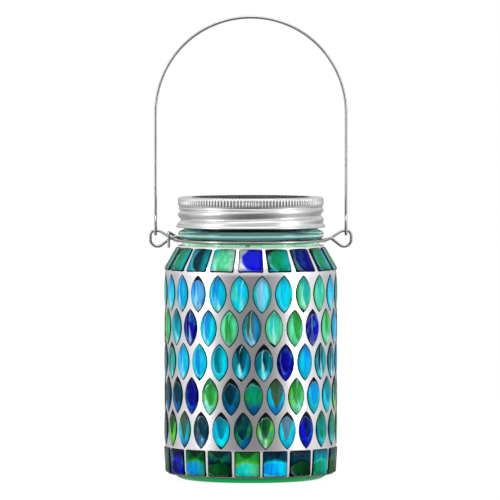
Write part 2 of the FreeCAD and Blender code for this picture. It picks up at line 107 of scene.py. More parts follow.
def give(socket, value):
    # what another node puts out is linked; a number or a colour is set on the socket itself
    if isinstance(value, bpy.types.NodeSocket):
        socket.id_data.links.new(value, socket)
    else:
        socket.default_value = value if np.isscalar(value) else (*value, 1)


def setShader(shader, **sockets):
    for name, value in sockets.items():
        give(shader.inputs[socketNames[name]], value)


def newMaterial(name, **sockets):
    material = bpy.data.materials.new(name)
    material.use_nodes = True
    tree = material.node_tree
    shader = tree.nodes["Principled BSDF"]
    setShader(shader, **sockets)
    return material, tree, shader


def addNode(tree, kind, **settings):
    node = tree.nodes.new(kind)
    for key, value in settings.items():
        setattr(node, key, value)
    return node


def feed(node, *values):
    # gives the node's inputs their values in order
    for socket, value in zip(node.inputs, values):
        give(socket, value)
    return node


def fill(node, **values):
    # gives the inputs of these names their values
    for label, value in values.items():
        give(node.inputs[label], value)
    return node


def treeOf(*values):
    # the node tree that the values come from
    return next(value.id_data for value in values if isinstance(value, bpy.types.NodeSocket))


def sums(operation, *values):
    return feed(addNode(treeOf(*values), "ShaderNodeMath", operation=operation), *values).outputs[0]


def ramp(value, fromLow, fromHigh, toLow=0.0, toHigh=1.0):
    # a soft step between two values of the first pair becomes one between those of the second
    node = addNode(treeOf(value), "ShaderNodeMapRange", interpolation_type="SMOOTHSTEP")
    return feed(node, value, fromLow, fromHigh, toLow, toHigh).outputs[0]


def product(first, *others):
    for other in others:
        first = sums("MULTIPLY", first, other)
    return first


def between(factor, first, second):
    # the first value where the factor is 0, the second where it is 1
    rest = sums("SUBTRACT", 1.0, factor)
    return sums("MULTIPLY_ADD", factor, second, product(rest, first))


def zone(height, begin, full, fade, end):
    # rises from 0 to 1 between begin and full, and falls again between fade and end
    return product(ramp(height, begin, full), ramp(height, fade, end, 1.0, 0.0))


def split(vector):
    return feed(addNode(treeOf(vector), "ShaderNodeSeparateXYZ"), vector).outputs


def mixColour(factor, first, second, blend="MIX"):
    # a Mix node keeps its colours on inputs 6 and 7 and on output 2
    tree = treeOf(factor, first, second)
    node = addNode(tree, "ShaderNodeMix", data_type="RGBA", blend_type=blend)
    for place, value in ((0, factor), (6, first), (7, second)):
        give(node.inputs[place], value)
    return node.outputs[2]


def shaded(colour, shade):
    return mixColour(1.0, colour, shade, "MULTIPLY")


def onPiece(tree, scale=(1, 1, 1)):
    # the piece's own metres, stretched along each axis
    mapping = addNode(tree, "ShaderNodeMapping")
    mapping.inputs["Scale"].default_value = scale
    return fill(mapping, Vector=addNode(tree, "ShaderNodeTexCoord").outputs["Object"]).outputs[0]


def heightOn(tree):
    return split(onPiece(tree))[2]


def noiseOn(vector, scale, detail=2.0):
    node = addNode(treeOf(vector), "ShaderNodeTexNoise")
    return fill(node, Vector=vector, Scale=scale, Detail=detail).outputs[0]


def bumpOn(shader, height, strength, distance):
    bump = addNode(treeOf(height), "ShaderNodeBump")
    fill(bump, Strength=strength, Distance=distance, Height=height)
    fill(shader, Normal=bump.outputs[0])


mottling = {
    "coarseDetail": 3.0,
    "fineDetail": 5.0,
    "darkTurn": (0.35, 0.65),    # of the two noises' mean
    "relief": 0.2 * mm,          # of the fine noise, at a bump of 1
    "inputs": {
        "Tint": "Color", "Depth": "Float", "Coarse": "Float", "Fine": "Float",
        "Smoothest": "Float", "Roughest": "Float", "Stretch": "Vector",
    },
    "outputs": {"Colour": "Color", "Roughness": "Float", "Height": "Float"},
}


def makeMottle():
    # two sizes of noise that darken a colour, spread a roughness and give a fine height
    group = bpy.data.node_groups.new("mottle", "ShaderNodeTree")
    for way, sockets in (("INPUT", mottling["inputs"]), ("OUTPUT", mottling["outputs"])):
        for label, kind in sockets.items():
            group.interface.new_socket(label, in_out=way, socket_type="NodeSocket" + kind)
    given = addNode(group, "NodeGroupInput").outputs
    result = addNode(group, "NodeGroupOutput")
    stretched = addNode(group, "ShaderNodeVectorMath", operation="MULTIPLY")
    feed(stretched, addNode(group, "ShaderNodeTexCoord").outputs["Object"], given["Stretch"])
    coarse = noiseOn(stretched.outputs[0], given["Coarse"], mottling["coarseDetail"])
    fine = noiseOn(stretched.outputs[0], given["Fine"], mottling["fineDetail"])
    both = sums("MULTIPLY", sums("ADD", coarse, fine), 0.5)
    shade = product(ramp(both, *mottling["darkTurn"]), given["Depth"])
    dark = mixColour(shade, (1.0, 1.0, 1.0), (0.0, 0.0, 0.0))
    span = sums("SUBTRACT", given["Roughest"], given["Smoothest"])
    rough = sums("MULTIPLY_ADD", coarse, span, given["Smoothest"])
    feed(result, shaded(given["Tint"], dark), rough, fine)
    return group


mottle = makeMottle()


def mottled(name, look):
    # a material of one tint, mottled as its look says; where the look asks for it, with painted shade
    #     # in recesses and at the foot, and metal only between some heights
    material, tree, shader = newMaterial(name, **look.get("sockets", {}))
    spread = addNode(tree, "ShaderNodeGroup", node_tree=mottle)
    feed(spread, look["tint"], look["depth"], *look["grain"], *look["roughness"])
    spread.inputs["Stretch"].default_value = look.get("stretch", (1, 1, 1))
    colour = spread.outputs["Colour"]
    # painted shade: darker down in the flutes, by their depth
    if "recessShade" in look:
        recess = addNode(tree, "ShaderNodeAttribute", attribute_name="recess").outputs["Fac"]
        colour = shaded(colour, ramp(recess, *look["recessShade"]))
    # painted shade: darker along the bottom edge, under the lowest tiles
    if "footShade" in look:
        colour = shaded(colour, ramp(heightOn(tree), *look["footShade"]))
    if "metalZone" in look:
        shine = zone(heightOn(tree), *look["metalZone"])
        setShader(shader, metallic=product(shine, look["metal"]))
    setShader(shader, base=colour, roughness=spread.outputs["Roughness"])
    bumpOn(shader, spread.outputs["Height"], look["bump"], mottling["relief"])
    return material


def dress(material, *names):
    for name in names:
        mesh = nodes[name].data
        mesh.materials.clear()
        mesh.materials.append(material)


# Camera, light and floor

view = {
    "distance": 3.0,
    "height": 0.225,
    "aimX": -0.0004,
    "aimZ": 0.1143,
    "frameWidth": 0.250,   # of the picture, at the jar's axis
    "sensor": 36.0,
    "clip": (0.05, 50.0),
}


def makeCamera():
    data = bpy.data.cameras.new("camera")
    camera = bpy.data.objects.new("camera", data)
    bpy.context.scene.collection.objects.link(camera)
    drop = view["height"] - view["aimZ"]
    data.sensor_width = view["sensor"]
    data.lens = view["sensor"] * math.hypot(view["distance"], drop) / view["frameWidth"]
    data.clip_start, data.clip_end = view["clip"]
    camera.location = (view["aimX"], -view["distance"], view["height"])
    camera.rotation_euler = (math.pi / 2 - math.atan2(drop, view["distance"]), 0, 0)
    bpy.context.scene.camera = camera


# what polished faces see of the world: dark towards the camera, two bright sides, grey behind and
# dark straight behind, bright above and dim below; each pair is where one passes into the next,
# and the floor shows them a dimmer copy of the sides
studio = {
    "fill": 0.60,          # of the world's light on matt surfaces
    "cameraSide": 0.12,
    "brightSides": 1.08,
    "farSide": 0.66,
    "straightBehind": 0.03,
    "above": 0.95,
    "below": 0.25,
    "frontTurn": (-1.04, -0.46),
    "sideTurn": (0.10, 0.50),
    "behindTurn": (0.93, 0.985),
    "aboveTurn": (0.0, 0.26),
    "belowTurn": (-0.40, -0.06),
    "lamps": (
        ("leftBox", (-1.3, -0.6, 0.5), (0.5, 1.2), 6.0),
        ("rightBox", (1.3, -0.6, 0.5), (0.5, 1.2), 6.0),
        ("topBox", (0.0, -0.4, 1.5), (1.2, 1.0), 7.0),
    ),
    "aim": (0.0, 0.0, 0.1),
    "floorHalf": 3.0,
    "floorFront": 0.55,    # from the axis to the floor's near edge
    "floorTint": (0.9, 0.9, 0.9),
    "floorShadow": 0.14,   # the share of the floor that takes real light
    "floorWhite": 1.08,
    "floorGloss": 0.80,    # of the sides' light, as polished faces see it
    # painted contact shadow: polished faces see the floor's light fall off towards the jar
    "floorNear": (0.05, 0.14, 0.30, 1.0),   # and where that falls off towards the jar
}


def sideLight(depth):
    # what is seen level with the eye, from the depth of a direction
    bright = ramp(depth, *studio["frontTurn"], studio["cameraSide"], studio["brightSides"])
    back = ramp(depth, *studio["sideTurn"], 1.0, studio["farSide"] / studio["brightSides"])
    behind = ramp(depth, *studio["behindTurn"], 1.0, studio["straightBehind"] / studio["farSide"])
    return product(bright, back, behind)


def anyRay(rays, *kinds):
    # 1 for a ray of one of these kinds
    found = rays[kinds[0]]
    for kind in kinds[1:]:
        found = sums("MAXIMUM", found, rays[kind])
    return found


def makeWorld():
    # seen as white; on polished faces its strength changes along the view and with the height
    world = bpy.data.worlds.new("studio")
    bpy.context.scene.world = world
    world.use_nodes = True
    tree = world.node_tree
    rays = addNode(tree, "ShaderNodeLightPath").outputs
    seen = anyRay(rays, "Is Camera Ray", "Is Transmission Ray")
    depth, height = split(addNode(tree, "ShaderNodeTexCoord").outputs["Generated"])[1:]
    above = ramp(height, *studio["aboveTurn"], 0.0, studio["above"])
    below = ramp(height, *studio["belowTurn"], studio["below"], 1.0)
    level = sums("MAXIMUM", sideLight(depth), above)
    polished = product(rays["Is Glossy Ray"], level, below)
    matt = product(sums("SUBTRACT", 1.0, rays["Is Glossy Ray"]), studio["fill"])
    strength = sums("MAXIMUM", seen, sums("ADD", polished, matt))
    fill(tree.nodes["Background"], Color=(1, 1, 1), Strength=strength)


def makeLamps():
    # soft boxes that look at the jar
    for name, place, size, power in studio["lamps"]:
        data = bpy.data.lights.new(name, "AREA")
        data.shape = "RECTANGLE"
        data.size, data.size_y = size
        data.energy = power
        lamp = bpy.data.objects.new(name, data)
        bpy.context.scene.collection.objects.link(lamp)
        lamp.location = place
        away = np.array(place) - np.array(studio["aim"])
        tip = math.atan2(math.hypot(away[0], away[1]), away[2])
        lamp.rotation_euler = (tip, 0, math.atan2(away[0], -away[1]))


def makeFloor():
    # white where it is seen, with a share of real light for the shadow
    half, front = studio["floorHalf"], -studio["floorFront"]
    corners = np.array([[-half, front, 0], [half, front, 0], [half, half, 0], [-half, half, 0]])
    floor = addMesh("floor", corners, [(0, 1, 2, 3)])
    material = bpy.data.materials.new("paleFloor")
    material.use_nodes = True
    tree = material.node_tree
    tree.nodes.remove(tree.nodes["Principled BSDF"])
    cloth = fill(addNode(tree, "ShaderNodeBsdfDiffuse"), Color=studio["floorTint"])
    rays = addNode(tree, "ShaderNodeLightPath").outputs
    spot = onPiece(tree)
    way = feed(addNode(tree, "ShaderNodeVectorMath", operation="NORMALIZE"), spot)
    far = feed(addNode(tree, "ShaderNodeVectorMath", operation="LENGTH"), spot)
    # painted contact shadow: less of the floor's light near the jar
    near = ramp(far.outputs["Value"], *studio["floorNear"])
    sides = sideLight(split(way.outputs[0])[1])
    gloss = product(sides, near, studio["floorGloss"])
    strength = between(rays["Is Glossy Ray"], studio["floorWhite"], gloss)
    lit = fill(addNode(tree, "ShaderNodeEmission"), Color=(1, 1, 1), Strength=strength)
    seen = anyRay(rays, "Is Camera Ray", "Is Transmission Ray", "Is Glossy Ray")
    share = product(seen, 1 - studio["floorShadow"])
    both = feed(addNode(tree, "ShaderNodeMixShader"), share, cloth.outputs[0], lit.outputs[0])
    fill(tree.nodes["Material Output"], Surface=both.outputs[0])
    floor.data.materials.append(material)


makeCamera()
makeWorld()
makeLamps()
makeFloor()
bpy.context.scene.view_settings.view_transform = "Standard"
print("camera, lamps and floor made")


# Mosaic: rows of glass tiles, each tile a stack of rings drawn in from its outline

# screen values
glassTones = {
    "frost": (232, 246, 252),
    "navy": (2, 2, 120),
    "royal": (8, 12, 214),
    "azure": (4, 154, 240),
    "sky": (0, 206, 244),
    "cyan": (0, 228, 250),
    "aqua": (24, 204, 196),
    "mist": (128, 190, 220),
    "mint": (96, 228, 166),
    "lime": (100, 208, 72),
    "leaf": (36, 160, 52),
    "emerald": (6, 134, 92),
    "teal": (6, 130, 152),
    "blueTeal": (6, 98, 168),
    "deepTeal": (2, 60, 84),
    "slate": (96, 140, 164),
    "olive": (62, 96, 58),
    "moss": (6, 74, 30),
    "petrol": (4, 46, 58),
    "ink": (0, 14, 18),
}

# each blend is the glass around a tile's heart, in its heart and at its foot
tileBlends = {
    "cyanLight": ("cyan", "sky", "cyan"),
    "skyLight": ("cyan", "azure", "cyan"),
    "mistLight": ("aqua", "mist", "cyan"),
    "azurePlain": ("sky", "azure", "sky"),
    "azureFrost": ("azure", "azure", "mist"),
    "aquaGreen": ("mint", "aqua", "mint"),
    "limeGreen": ("mint", "leaf", "mint"),
    "greenGlow": ("lime", "leaf", "mint"),
    "tealSky": ("sky", "teal", "cyan"),
    "tealGreen": ("teal", "emerald", "aqua"),
    "oliveAzure": ("teal", "olive", "azure"),
    "inkCyan": ("teal", "petrol", "cyan"),
    "inkBlue": ("deepTeal", "petrol", "blueTeal"),
    "mossSky": ("sky", "olive", "azure"),
    "mossLime": ("lime", "moss", "lime"),
    "emeraldBlue": ("leaf", "emerald", "blueTeal"),
    "slateCyan": ("cyan", "slate", "sky"),
    "navyBlue": ("navy", "navy", "royal"),
    "royalBlue": ("royal", "navy", "royal"),
    "royalFrost": ("frost", "royal", "royal"),
    "limeFrost": ("aqua", "mint", "frost"),
    "tealNavy": ("deepTeal", "navy", "navy"),
    "greenInk": ("ink", "emerald", "sky"),
    "mossInk": ("deepTeal", "moss", "ink"),
    "mintFoot": ("leaf", "aqua", "lime"),
    "azureFoot": ("deepTeal", "azure", "cyan"),
    "greenFoot": ("moss", "azure", "leaf"),
}

# for the tiles of each kind of row: the glass that may have run in, the shares of the blends, where
# # the heart lies, how much that varies, its half width and height, the shares of tiles with a pointed
# # heart, a painted highlight streak, a dark cap and a chipped foot, the level and bow of the cap and how
# dark it is, and
# # the levels between which the foot's glass takes over
rowLooks = {
    "shoulder": {
        "drift": ("leaf", "deepTeal", "azure", "moss"),
        "blends": {"tealGreen": 3, "inkCyan": 3, "mossInk": 3, "greenInk": 4, "inkBlue": 3},
        "middle": (0.40, -0.04), "spread": (0.08, 0.06), "half": (1.04, 1.04),
        "shares": (0.0, 0.0, 0.0, 0.0),
        "cap": (0.70, 0.5), "capDepth": 1.0, "turnover": (-0.95, -0.45),
    },
    "upper": {
        "drift": ("sky", "cyan", "mint", "mint", "leaf"),
        "blends": {
            "cyanLight": 5, "skyLight": 4, "mistLight": 1, "azurePlain": 3, "aquaGreen": 4,
            "limeGreen": 4, "tealSky": 2, "tealGreen": 2,
        },
        "middle": (0.14, 0.08), "spread": (0.12, 0.06), "half": (0.60, 0.76),
        "shares": (0.10, 0.75, 0.15, 0.15),
        "cap": (0.70, 0.5), "capDepth": 1.0, "turnover": (-0.75, -0.20),
    },
    "middle": {
        "drift": ("azure", "cyan", "teal", "leaf"),
        "blends": {
            "skyLight": 2, "azurePlain": 3, "aquaGreen": 2, "limeGreen": 2, "tealSky": 4,
            "tealGreen": 3, "inkCyan": 3, "oliveAzure": 2,
        },
        "middle": (0.12, 0.10), "spread": (0.12, 0.06), "half": (0.56, 0.72),
        "shares": (0.5, 0.6, 0.25, 0.3),
        "cap": (0.70, 0.5), "capDepth": 1.0, "turnover": (-0.70, -0.10),
    },
    "lower": {
        "drift": ("azure", "teal", "leaf", "blueTeal"),
        "blends": {
            "azurePlain": 3, "greenGlow": 2, "tealSky": 4, "tealGreen": 3, "inkBlue": 3,
            "mossSky": 2, "mossLime": 2, "emeraldBlue": 2, "slateCyan": 2,
        },
        "middle": (0.02, 0.14), "spread": (0.06, 0.05), "half": (0.80, 0.66),
        "shares": (1.0, 0.25, 0.55, 0.2),
        "cap": (0.72, 0.5), "capDepth": 1.0, "turnover": (-0.65, 0.0),
    },
    "foot": {
        "drift": ("leaf", "azure", "ink", "emerald"),
        "blends": {"mossInk": 4, "azureFoot": 4, "mintFoot": 2, "inkBlue": 2, "tealGreen": 2},
        "middle": (0.0, -0.44), "spread": (0.08, 0.04), "half": (0.95, 0.50),
        "shares": (0.0, 0.15, 0.8, 0.0),
        "cap": (0.46, -1.1), "capDepth": 0.65, "turnover": (0.16, 0.50),
    },
}

# tiles that were picked one by one, counted from the front towards the right
picked = {
    "shoulderRow": {
        -3: "greenInk", -2: "inkCyan", -1: "limeFrost", 0: "royalFrost", 1: "greenInk", 2: "tealNavy",
    },
    "leafRow1": {
        -3: "azureFrost", -2: "skyLight", -1: "cyanLight", 0: "mistLight", 1: "cyanLight", 2: "aquaGreen",
    },
    "leafRow2": {
        -3: "navyBlue", -2: "skyLight", -1: "limeGreen", 0: "oliveAzure", 3: "royalBlue", 9: "navyBlue",
    },
    "leafRow3": {-2: "tealSky", -1: "inkCyan", 0: "inkCyan", 1: "navyBlue", 10: "royalBlue"},
    "leafRow4": {
        -3: "navyBlue", -2: "greenGlow", -1: "inkBlue", 0: "emeraldBlue", 1: "mossSky", 8: "navyBlue",
    },
    "leafRow5": {-2: "tealSky", -1: "inkBlue", 0: "mossLime", 2: "royalBlue", -8: "royalBlue"},
    "footRow": {
        -3: "navyBlue", -2: "greenFoot", -1: "mossInk", 0: "mintFoot", 1: "azureFoot", 2: "mossInk",
    },
}

mosaic = {
    "wallRadius": 40.6 * mm,       # of the leaves' backs
    "thickness": 2.5 * mm,
    "leafLength": 18.6 * mm,
    "leafWidth": 9.3 * mm,
    "leafSteps": 11,               # along each side of a leaf
    "squareCorner": 0.8 * mm,
    "cornerSteps": 3,
    "rings": ((1.0, 0.0), (1.0, 0.82), (0.94, 0.97), (0.55, 1.0)),   # share of outline, of thickness
    "crown": 1.02,
    "wobble": 0.4,                 # degrees of tilt from tile to tile
    "leafCount": 24,
    "leafDrift": 0.6,              # degrees from row to row
    "rowKinds": ("upper", "upper", "middle", "lower", "lower"),
    "toneSpread": (0.85, 1.15),    # of each tile's glass
    "heartSpread": (0.9, 1.1),     # of the size of its heart
    "seatSeed": 41,
    "leafSeed": 100,               # plus the row
    "squareSeed": 200,             # plus the count
    "shoulder": {
        "count": 18, "turn": 0.0, "lean": 30.0, "radius": 37.787 * mm,
        "foot": 12.4 * mm, "head": 11.5 * mm, "height": 12.6 * mm,
    },
    "foot": {
        "count": 19, "turn": -2.4, "lean": -3.08, "radius": 40.237 * mm,
        "foot": 12.6 * mm, "head": 12.6 * mm, "height": 12.8 * mm,
    },
}


def leafOutline():
    # two arcs of one radius between the tips, walked around from the lower tip
    half = mosaic["leafLength"] / 2
    wide = mosaic["leafWidth"] / 2
    radius = (half**2 + wide**2) / (2 * wide)
    spread = math.asin(half / radius)
    angle = np.linspace(-spread, spread, mosaic["leafSteps"])[:-1]
    right = np.stack([radius * np.cos(angle) - (radius - wide), radius * np.sin(angle)], -1)
    return np.concatenate([right, -right])


def squareOutline(foot, head, height):
    # quarter circles at the corners of a trapezium, walked around from the lower right
    corner = mosaic["squareCorner"]
    quarter = np.linspace(0, np.pi / 2, mosaic["cornerSteps"])
    angle = quarter + np.pi / 2 * np.array([[-1], [0], [1], [2]])
    middle = np.array([[foot, -height], [head, height], [-head, height], [-foot, -height]]) / 2
    middle -= np.sign(middle) * corner
    arcs = middle[:, None] + corner * np.stack([np.cos(angle), np.sin(angle)], -1)
    return arcs.reshape(-1, 2)


def tileSeats(count, turn, radius, height, lean, draw):
    # for each tile its middle, and the directions around the jar, up the wall and straight out
    angle = np.radians(turn + 360 / count * np.arange(count))
    wobble = np.radians(draw.normal(0, mosaic["wobble"], (2, count, 1)))
    tilt = np.radians(lean) + wobble[0]
    upright = np.array([[0.0, 0.0, 1.0]])
    outward = around(1.0, angle, 0.0)
    level = around(1.0, angle + np.pi / 2, 0.0)
    rise = upright * np.cos(tilt) - outward * np.sin(tilt)
    normal = outward * np.cos(tilt) + upright * np.sin(tilt)
    side = level * np.cos(wobble[1]) + rise * np.sin(wobble[1])
    rise = rise * np.cos(wobble[1]) - level * np.sin(wobble[1])
    return outward * radius + upright * height, np.stack([side, rise, normal], 1)


def layTiles(name, node, outline, seats, look, seed):
    # each ring is the outline drawn in by its share, lifted by its part of the thickness
    places, axes = seats
    count, size = len(places), len(outline)
    share, lift = np.array(mosaic["rings"]).T
    flat = share[:, None, None] * outline
    raised = np.broadcast_to((lift * mosaic["thickness"])[:, None, None], (*flat.shape[:2], 1))
    local = np.concatenate([flat, raised], -1).reshape(-1, 3)
    local = np.concatenate([local, [[0, 0, mosaic["crown"] * mosaic["thickness"]]]])
    points = places[:, None] + np.einsum("kv,nvw->nkw", local, axes)
    step = np.arange(size)
    last = (len(share) - 1) * size
    walls = gridFaces(len(share), size, False, True)
    fan = np.stack([last + step, last + (step + 1) % size, np.full(size, last + size)], -1)
    starts = np.arange(count)[:, None, None] * len(local)
    faces = []
    for corners in (walls, fan, step[None, ::-1]):
        faces += (corners + starts).reshape(-1, corners.shape[1]).tolist()
    piece = addMesh(name, points, faces)
    corner = np.concatenate([flat.reshape(-1, 2), np.zeros((1, 2))]) / np.abs(outline).max(0)
    rim = np.concatenate([np.repeat(share, size), [0]])
    paintTiles(piece, corner, rim, count, rowLooks[look], seed)
    seat(piece, "jar", "mosaic_glass", mosaicGlass, node)


glassLayers = ("topGlass", "heartGlass", "footGlass", "driftGlass")


def paintTiles(piece, corner, rim, count, look, seed):
    # a map over each tile from -1 to 1, the glass it was given and how its heart and cap lie
    draw = np.random.default_rng(seed)
    mesh = piece.data
    size = len(rim)
    owner = np.zeros(len(mesh.loops), int)
    mesh.loops.foreach_get("vertex_index", owner)
    mesh.uv_layers.new(name="tileMap").data.foreach_set("uv", corner[owner % size].ravel())
    addAttribute(piece, "tileRim", "FLOAT", "value", np.tile(rim, count))
    odds = np.array(list(look["blends"].values()), float)
    laid = draw.choice(list(look["blends"]), count, p=odds / odds.sum()).astype(object)
    for place, blend in picked[piece.name].items():
        laid[place] = blend
    drift = draw.choice(look["drift"], count)
    tones = np.array([
        [screenColour(*glassTones[tone]) for tone in (*tileBlends[blend], run)]
        for blend, run in zip(laid, drift)
    ])
    tones = np.clip(tones * draw.uniform(*mosaic["toneSpread"], (count, len(glassLayers), 1)), 0, 1)
    for place, name in enumerate(glassLayers):
        colour = np.ones((count * size, 4))
        colour[:, :3] = np.repeat(tones[:, place], size, 0)
        addAttribute(piece, name, "FLOAT_COLOR", "color", colour)
    middle = np.array(look["middle"]) + draw.normal(0, 1, (count, 2)) * look["spread"]
    half = look["half"] * draw.uniform(*mosaic["heartSpread"], (count, 2))
    pointed, streaked, capped, chipped = (draw.random((count, 4)) < look["shares"]).T
    bow = draw.uniform(*tileGlass["streakBow"], count)
    vectors = {
        "heartPlace": np.column_stack([middle, pointed]),
        "heartHalf": np.column_stack([half, streaked * bow]),
        "capShape": np.column_stack([np.tile(look["cap"], (count, 1)), capped * look["capDepth"]]),
        "turnover": np.column_stack([np.tile(look["turnover"], (count, 1)), chipped]),
    }
    for name, values in vectors.items():
        addAttribute(piece, name, "FLOAT_VECTOR", "vector", np.repeat(values, size, 0))


# levels run from -1 to 1 over a tile; four numbers give a shade's beginning, its end and its two values
tileGlass = {
    # the tiles' glow is painted light
    "sockets": {"roughness": 0.08, "ior": 1.5, "specular": 0.05, "glow": 0.06},
    "waviness": (0.06, 0.4 * mm),
    "swirl": 0.34,    # how far the noises shift the pattern
    "ripple": 150.0,
    "curl": 260.0,
    "curlStretch": (1.0, 1.3, 0.8),
    "streaks": 420.0,
    "streakStretch": (1.0, 1.0, 0.22),
    # edgeTone is the dark tone of the painted shade line along each tile's outline
    "edgeTone": screenColour(2, 10, 14),
    "edgeLine": (0.915, 0.97),    # from the middle of the tile to its outline
    "heartSoft": (0.35, 0.10),    # soft edge of a round heart and of a pointed one
    "heartLight": (0.65, 0.15),    # of the foot's glass in the right of each
    "lightTurn": (-0.3, 0.8),
    "pointedReach": (1.1, -0.1),    # factor and offset of the root that a pointed heart widens with
    "drift": 0.55,    # of another glass that has run into the tile
    "driftTurn": (0.46, 0.72),
    "heartDrift": 0.2,
    "heartDriftTurn": (0.50, 0.74),
    "footSag": 0.25,
    "streakShade": (0.35, 0.65, 0.80, 1.14),
    # rimShade and topShade are painted shade: darker towards the edge and towards the top
    "rimShade": (0.55, 0.95, 1.0, 0.66),
    "topShade": (0.1, 1.0, 1.0, 0.74),
    # streakTone is the pale tone of the painted highlights, the streak and the crescent, and of the pale
    # line under a cap
    "streakTone": screenColour(206, 250, 246),
    "streakBow": (0.06, 0.72),
    "streakWidth": (-1.1, 0.2, 0.75, 0.10),
    "streakSoft": (0.1, 1.0, 1.0, 0.0),    # from its middle to its width
    "streakShow": (0.0, 0.05),    # of its bow, which is 0 in a tile without one
    "streakBreaks": (0.36, 0.60, 0.1, 0.85),
    "streakPale": 0.62,    # of that tone in a streak, the rest is the foot's glass
    "crescent": (-1.3, 0.3, 0.40, 0.0),
    "crescentLine": (0.2, 0.4),    # its place outside the heart, and its half width
    "crescentBreaks": (0.32, 0.58, 0.15, 1.0),
    "crescentPale": 0.3,
    "capSoft": 0.07,
    "capLine": 0.14,    # of the pale line under a full cap
    "capLinePlace": (0.03, 0.04),    # how far under it, and its half width
    "fullCap": (0.8, 1.0),
    "chip": (-0.82, -0.88),
    "chipSlope": 0.3,
}


